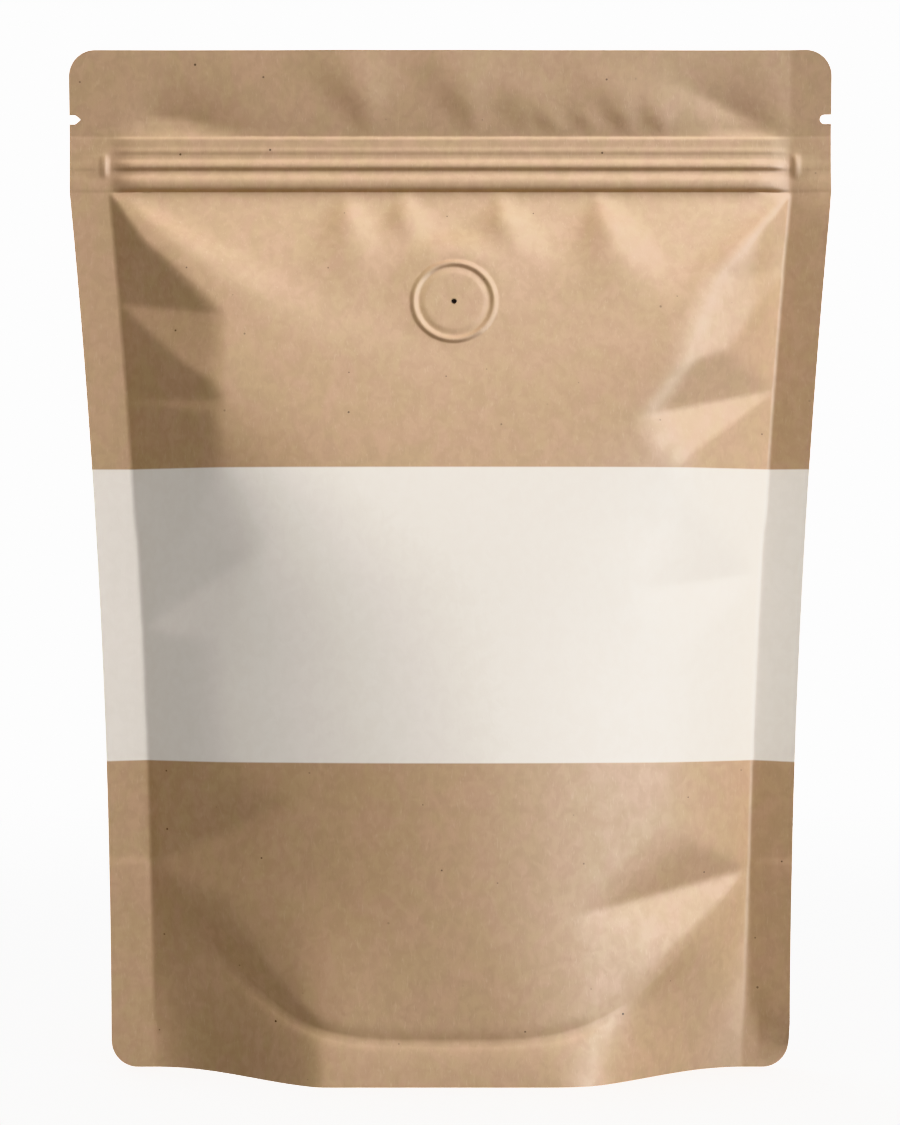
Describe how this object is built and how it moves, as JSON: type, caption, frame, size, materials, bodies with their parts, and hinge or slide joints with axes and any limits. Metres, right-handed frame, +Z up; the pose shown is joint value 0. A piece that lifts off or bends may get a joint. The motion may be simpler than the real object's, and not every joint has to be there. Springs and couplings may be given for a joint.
{
  "type": "stand-up kraft paper pouch",
  "caption": "Filled stand-up pouch of kraft paper with flat side seals, a press-to-close zip, a valve, a blank pale band and a gusseted foot.",
  "frame": {"origin": "on the ground, under the middle of the pouch", "axes": "+Z up towards the header, the front panel with the valve faces -Y, +X to the right of someone facing the front"},
  "size_m": [0.172, 0.0524, 0.2295],
  "materials": {
    "kraft_paper": "satin laminated kraft paper with a blank off-white printed band"
  },
  "bodies": {
    "root": {"pouch": "kraft_paper"}
  },
  "joints": []
}
